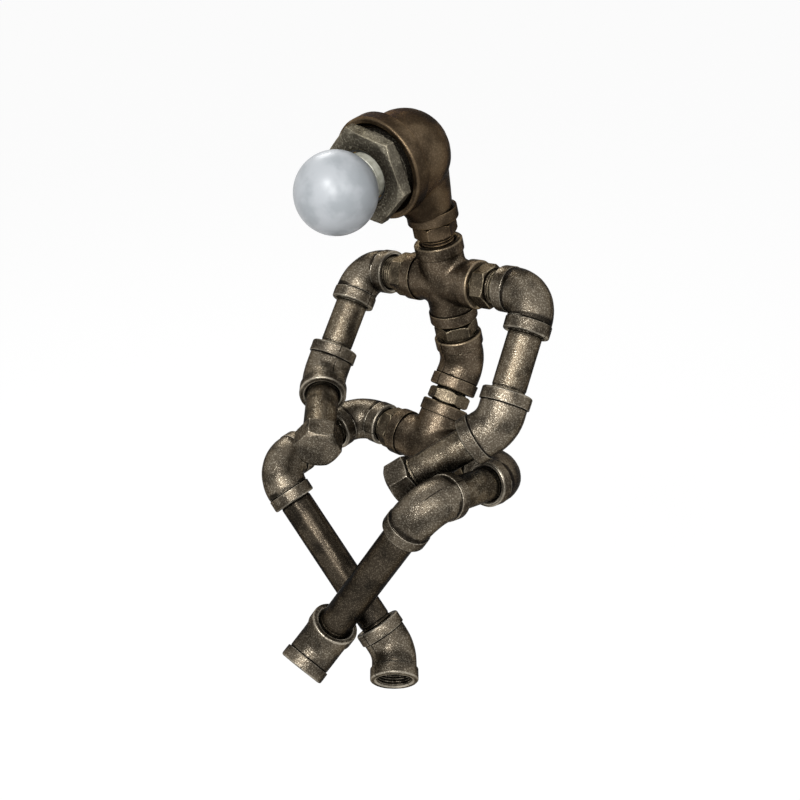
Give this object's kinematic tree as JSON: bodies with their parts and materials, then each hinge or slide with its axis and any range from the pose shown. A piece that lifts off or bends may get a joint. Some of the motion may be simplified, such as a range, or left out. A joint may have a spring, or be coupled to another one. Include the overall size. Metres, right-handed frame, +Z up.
{
  "type": "table lamp",
  "caption": "Seated figure lamp built from aged bronze pipe fittings, with a pearl globe bulb in its head and limbs that turn on their threads.",
  "frame": {"origin": "on the seat face, straight below the centre of the hip tee", "axes": "+Z up along the figure's height, +X to the figure's own left, the figure faces -Y"},
  "size_m": [0.1652, 0.176, 0.3308],
  "materials": {
    "cast_torso": "antique bronze over dark iron, cast texture",
    "cast_limbs": "antique bronze, dry brushed highlights, cast texture",
    "cast_head": "reddish antique bronze, cast texture",
    "cast_bushing": "grey green antique bronze, coarse cast texture",
    "nipples": "antique bronze, satin flats",
    "pipes": "antique bronze, drawn tube, rubbed highlights",
    "rubber_bush": "matt black",
    "moulded_holder": "black moulded insulator",
    "brass_contacts": "pressed brass",
    "lead_sleeve": "insulating sleeve",
    "splice_plastic": "closed end splice",
    "pearl_glass": "pearl white glass, glossy",
    "bulb_collar": "pale grey collar",
    "lamp_cap": "rolled screw cap",
    "tip_insulator": "dark insulator"
  },
  "bodies": {
    "torso": {"waist_tee": "cast_torso", "waist_nipple": "nipples", "spine_elbow": "cast_torso", "spine_nipple": "nipples", "shoulder_cross": "cast_torso", "cord_bush": "rubber_bush", "neck_nipple": "nipples", "left_shoulder_nipple": "nipples", "right_shoulder_nipple": "nipples", "left_hip_nipple": "nipples", "right_hip_nipple": "nipples", "left_hip_elbow": "cast_limbs", "left_thigh": "pipes"},
    "head": {"head_elbow": "cast_head", "head_bushing": "cast_bushing", "lamp_holder": "moulded_holder", "holder_shell": "brass_contacts", "holder_contact": "brass_contacts", "holder_leads": "lead_sleeve", "lead_splices": "splice_plastic", "bulb_globe": "pearl_glass", "bulb_collar": "bulb_collar", "bulb_cap": "lamp_cap", "bulb_tip": "tip_insulator"},
    "left_arm_upper": {"left_shoulder_elbow": "cast_limbs", "left_upper_arm": "pipes"},
    "left_arm_lower": {"left_arm_elbow": "cast_limbs", "left_forearm": "pipes", "left_hand": "cast_limbs"},
    "right_arm_upper": {"right_shoulder_elbow": "cast_limbs", "right_upper_arm": "pipes"},
    "right_arm_lower": {"right_arm_elbow": "cast_limbs", "right_forearm": "pipes", "right_hand": "cast_limbs"},
    "left_leg_lower": {"left_knee_elbow": "cast_limbs", "left_shin": "pipes"},
    "left_foot": {"left_foot_elbow": "cast_limbs"},
    "right_leg_upper": {"right_hip_elbow": "cast_limbs", "right_thigh": "pipes"},
    "right_leg_lower": {"right_knee_elbow": "cast_limbs", "right_shin": "pipes"},
    "right_foot": {"right_foot_elbow": "cast_limbs"}
  },
  "joints": [
    {"name": "head_turn", "type": "hinge", "parent": "torso", "child": "head", "pos_m": [-0.01313, 0.02022, 0.15699], "axis": [-0.1313, -0.1294, 0.9829], "range_deg": [-60, 60]},
    {"name": "left_shoulder_swing", "type": "hinge", "parent": "torso", "child": "left_arm_upper", "pos_m": [0.03995, 0.02611, 0.11989], "axis": [0.9911, 0.0035, 0.1328], "range_deg": [-60, 0]},
    {"name": "left_forearm_turn", "type": "hinge", "parent": "left_arm_upper", "child": "left_arm_lower", "pos_m": [0.06551, -0.01246, 0.07246], "axis": [0.1075, -0.6083, -0.7864], "range_deg": [0, 12]},
    {"name": "right_shoulder_swing", "type": "hinge", "parent": "torso", "child": "right_arm_upper", "pos_m": [-0.0546, 0.02578, 0.10721], "axis": [-0.9911, -0.0035, -0.1328], "range_deg": [-4, 60]},
    {"name": "right_forearm_turn", "type": "hinge", "parent": "right_arm_upper", "child": "right_arm_lower", "pos_m": [-0.06732, -0.01422, 0.06087], "axis": [0.1009, -0.67, -0.7355], "range_deg": [-30, 60]},
    {"name": "left_shin_turn", "type": "hinge", "parent": "torso", "child": "left_leg_lower", "pos_m": [0.0607, -0.05907, 0.03031], "axis": [0, -0.9668, 0.2554], "range_deg": [-6, 60]},
    {"name": "left_foot_turn", "type": "hinge", "parent": "left_leg_lower", "child": "left_foot", "pos_m": [0.00827, -0.10286, -0.06142], "axis": [-0.4648, -0.2262, -0.856], "range_deg": [-60, 60]},
    {"name": "right_hip_swing", "type": "hinge", "parent": "torso", "child": "right_leg_upper", "pos_m": [-0.0418, 0, 0.0147], "axis": [-1, 0, 0], "range_deg": [-40, 0]},
    {"name": "right_shin_turn", "type": "hinge", "parent": "right_leg_upper", "child": "right_leg_lower", "pos_m": [-0.0607, -0.05813, 0.01186], "axis": [0, -0.9988, -0.0489], "range_deg": [-60, 10]},
    {"name": "right_foot_turn", "type": "hinge", "parent": "right_leg_lower", "child": "right_foot", "pos_m": [0.02, -0.07274, -0.07642], "axis": [0.6782, 0.0359, -0.734], "range_deg": [-60, 60]}
  ]
}
